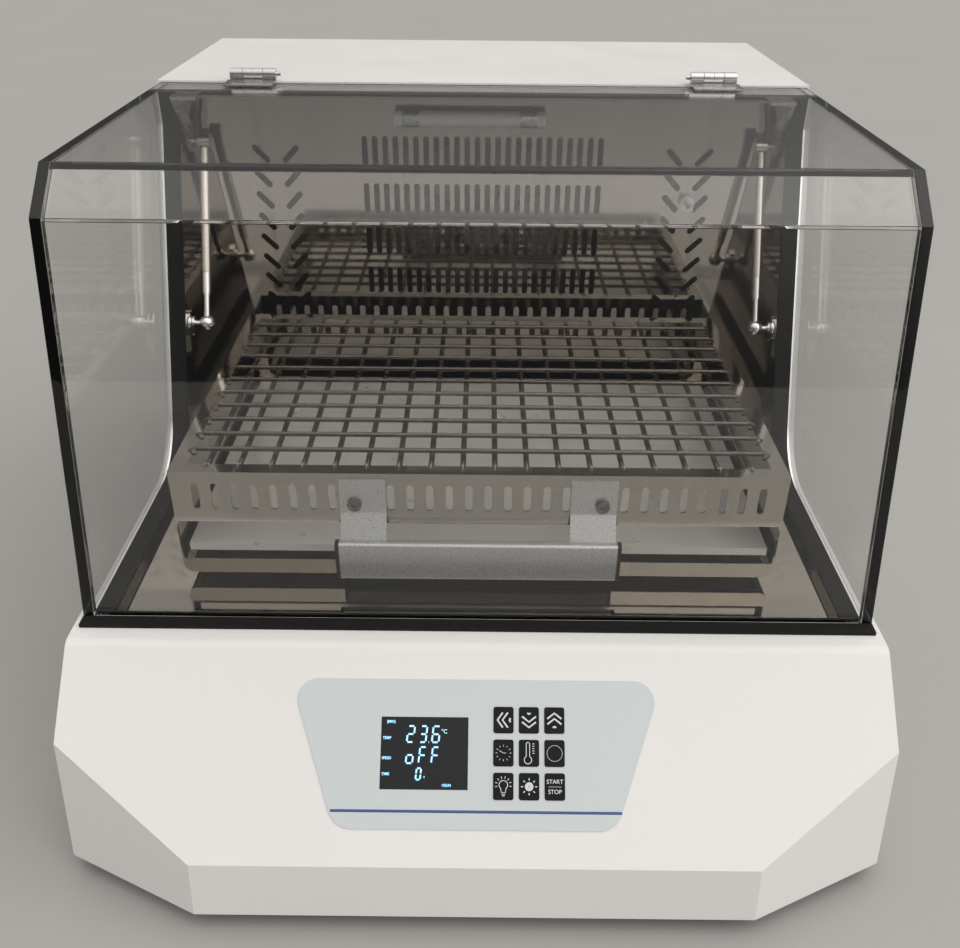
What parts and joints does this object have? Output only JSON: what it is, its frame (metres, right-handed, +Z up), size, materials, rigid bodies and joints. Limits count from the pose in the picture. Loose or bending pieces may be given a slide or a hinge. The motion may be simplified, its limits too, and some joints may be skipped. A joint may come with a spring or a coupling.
{
  "type": "incubated benchtop shaker",
  "caption": "Low benchtop incubator-shaker in white sheet steel with a clear lift-up hood, a sprung vessel rack on an orbiting carriage, and a sloping control panel.",
  "frame": {"origin": "on the bench, midway between the sides and midway between the front and rear edges of the casing", "axes": "+X to the instrument's right seen from the front, +Y from the control panel towards the rear, +Z up from the bench"},
  "size_m": [0.6, 0.8017, 0.4847],
  "materials": {
    "white_paint": "semi-gloss white powder coat",
    "black_steel": "black paint",
    "black_rubber": "matte",
    "black_seal": "matte",
    "screw_steel": "zinc plated",
    "polished_steel": "polished stainless",
    "panel_film": "satin film",
    "display_glass": "dark tinted",
    "black_plastic": "satin",
    "circuit_board": "green lacquer",
    "cast_frame": "as cast",
    "bearing_steel": "ground",
    "motor_black": "satin black",
    "belt_rubber": "matte",
    "zinc_sheet": "zinc plated sheet",
    "heater_steel": "heat darkened",
    "lamp_white": "frosted",
    "hinge_steel": "satin stainless",
    "key_black": "satin",
    "rocker_black": "glossy",
    "clear_acrylic": "clear polished",
    "bracket_steel": "satin stainless",
    "strut_tube": "polished",
    "strut_rod": "polished",
    "rack_steel": "brushed stainless",
    "spring_steel": "bright spring wire",
    "spring_dark": "darker spring wire",
    "handle_silver": "silver metallic paint",
    "shaft_steel": "turned",
    "pulley_aluminium": "turned",
    "fan_aluminium": "pressed sheet"
  },
  "bodies": {
    "base": {"base_plate": "black_steel", "feet": "black_rubber", "outer_casing": "white_paint", "rear_panel": "white_paint", "casing_screws": "screw_steel", "chamber_liner": "polished_steel", "rear_wall": "polished_steel", "hood_seal": "black_seal", "control_overlay": "panel_film", "display_window": "display_glass", "display_module": "black_plastic", "control_board": "circuit_board", "drive_frame": "cast_frame", "drive_bearings": "bearing_steel", "drive_motor": "motor_black", "drive_belt": "belt_rubber", "fan_motor": "motor_black", "fan_plenum": "zinc_sheet", "heater": "heater_steel", "chamber_lamp": "lamp_white", "temperature_sensor": "screw_steel", "power_supply": "zinc_sheet", "power_inlet": "black_plastic", "hinge_base_leaves": "hinge_steel", "strut_anchors": "strut_rod"},
    "key_1": {"key_1": "key_black"},
    "key_2": {"key_2": "key_black"},
    "key_3": {"key_3": "key_black"},
    "key_4": {"key_4": "key_black"},
    "key_5": {"key_5": "key_black"},
    "key_6": {"key_6": "key_black"},
    "key_7": {"key_7": "key_black"},
    "key_8": {"key_8": "key_black"},
    "key_9": {"key_9": "key_black"},
    "switch": {"power_switch": "rocker_black"},
    "hood": {"hood_front": "clear_acrylic", "hood_bevel": "clear_acrylic", "hood_top": "clear_acrylic", "hood_side_left": "clear_acrylic", "hood_side_right": "clear_acrylic", "hinge_hood_leaves": "hinge_steel", "strut_brackets": "bracket_steel"},
    "strut_tube_left": {"strut_tube_left": "strut_tube"},
    "strut_tube_right": {"strut_tube_right": "strut_tube"},
    "strut_rod_left": {"strut_rod_left": "strut_rod"},
    "strut_rod_right": {"strut_rod_right": "strut_rod"},
    "crank": {"drive_crank": "shaft_steel", "driven_pulley": "pulley_aluminium"},
    "carriage": {"carriage_frame": "cast_frame", "platform_plate": "polished_steel", "rack_frame": "rack_steel", "springs_long": "spring_steel", "springs_cross": "spring_dark", "rack_handle": "handle_silver", "handle_caps": "black_plastic", "rack_screws": "screw_steel"},
    "idler_left": {"idler_crank_left": "shaft_steel"},
    "idler_right": {"idler_crank_right": "shaft_steel"},
    "motor_rotor": {"motor_pulley": "pulley_aluminium"},
    "fan": {"fan_impeller": "fan_aluminium"}
  },
  "joints": [
    {"name": "hood_lift", "type": "hinge", "parent": "base", "child": "hood", "pos_m": [0, 0.135, 0.48], "axis": [-1, 0, 0], "range_deg": [0, 65]},
    {"name": "strut_swing_left", "type": "hinge", "parent": "hood", "child": "strut_tube_left", "pos_m": [-0.257, 0.107, 0.4195], "axis": [1, 0, 0], "range_deg": [0, 82.67]},
    {"name": "strut_slide_left", "type": "slide", "parent": "strut_tube_left", "child": "strut_rod_left", "axis": [0, -0.451, -0.8925], "range_m": [0, 0.04597]},
    {"name": "strut_swing_right", "type": "hinge", "parent": "hood", "child": "strut_tube_right", "pos_m": [0.257, 0.107, 0.4195], "axis": [1, 0, 0], "range_deg": [0, 82.67]},
    {"name": "strut_slide_right", "type": "slide", "parent": "strut_tube_right", "child": "strut_rod_right", "axis": [0, -0.451, -0.8925], "range_m": [0, 0.04597]},
    {"name": "crank_spin", "type": "hinge", "parent": "base", "child": "crank", "pos_m": [0, 0.02, 0], "axis": [0, 0, 1], "continuous": true},
    {"name": "carriage_pivot", "type": "hinge", "parent": "crank", "child": "carriage", "pos_m": [0, 0.01, 0], "axis": [0, 0, 1], "continuous": true},
    {"name": "idler_left_spin", "type": "hinge", "parent": "base", "child": "idler_left", "pos_m": [-0.15, -0.12, 0], "axis": [0, 0, 1], "continuous": true},
    {"name": "idler_right_spin", "type": "hinge", "parent": "base", "child": "idler_right", "pos_m": [0.15, -0.12, 0], "axis": [0, 0, 1], "continuous": true},
    {"name": "motor_spin", "type": "hinge", "parent": "base", "child": "motor_rotor", "pos_m": [0, 0.18, 0], "axis": [0, 0, 1], "continuous": true},
    {"name": "fan_spin", "type": "hinge", "parent": "base", "child": "fan", "pos_m": [0, 0.165, 0.33], "axis": [0, 1, 0], "continuous": true},
    {"name": "key_1_press", "type": "slide", "parent": "base", "child": "key_1", "axis": [0, 0.6884, -0.7254], "range_m": [0, 0.0005], "stiffness_N_per_m": 4000},
    {"name": "key_2_press", "type": "slide", "parent": "base", "child": "key_2", "axis": [0, 0.6884, -0.7254], "range_m": [0, 0.0005], "stiffness_N_per_m": 4000},
    {"name": "key_3_press", "type": "slide", "parent": "base", "child": "key_3", "axis": [0, 0.6884, -0.7254], "range_m": [0, 0.0005], "stiffness_N_per_m": 4000},
    {"name": "key_4_press", "type": "slide", "parent": "base", "child": "key_4", "axis": [0, 0.6884, -0.7254], "range_m": [0, 0.0005], "stiffness_N_per_m": 4000},
    {"name": "key_5_press", "type": "slide", "parent": "base", "child": "key_5", "axis": [0, 0.6884, -0.7254], "range_m": [0, 0.0005], "stiffness_N_per_m": 4000},
    {"name": "key_6_press", "type": "slide", "parent": "base", "child": "key_6", "axis": [0, 0.6884, -0.7254], "range_m": [0, 0.0005], "stiffness_N_per_m": 4000},
    {"name": "key_7_press", "type": "slide", "parent": "base", "child": "key_7", "axis": [0, 0.6884, -0.7254], "range_m": [0, 0.0005], "stiffness_N_per_m": 4000},
    {"name": "key_8_press", "type": "slide", "parent": "base", "child": "key_8", "axis": [0, 0.6884, -0.7254], "range_m": [0, 0.0005], "stiffness_N_per_m": 4000},
    {"name": "key_9_press", "type": "slide", "parent": "base", "child": "key_9", "axis": [0, 0.6884, -0.7254], "range_m": [0, 0.0005], "stiffness_N_per_m": 4000},
    {"name": "switch_rock", "type": "hinge", "parent": "base", "child": "switch", "pos_m": [0.19, 0.3935, 0.097], "axis": [-1, 0, 0], "range_deg": [0, 14]}
  ],
  "couplings": [
    {"joint": "strut_swing_left", "follows": "hood_lift", "ratio": 1.2688},
    {"joint": "strut_slide_left", "follows": "hood_lift", "m_per_rad": 0.040436},
    {"joint": "strut_swing_right", "follows": "hood_lift", "ratio": 1.2688},
    {"joint": "strut_slide_right", "follows": "hood_lift", "m_per_rad": 0.040436},
    {"joint": "carriage_pivot", "follows": "crank_spin", "ratio": -1},
    {"joint": "idler_left_spin", "follows": "crank_spin", "ratio": 1},
    {"joint": "idler_right_spin", "follows": "crank_spin", "ratio": 1},
    {"joint": "motor_spin", "follows": "crank_spin", "ratio": 3}
  ]
}
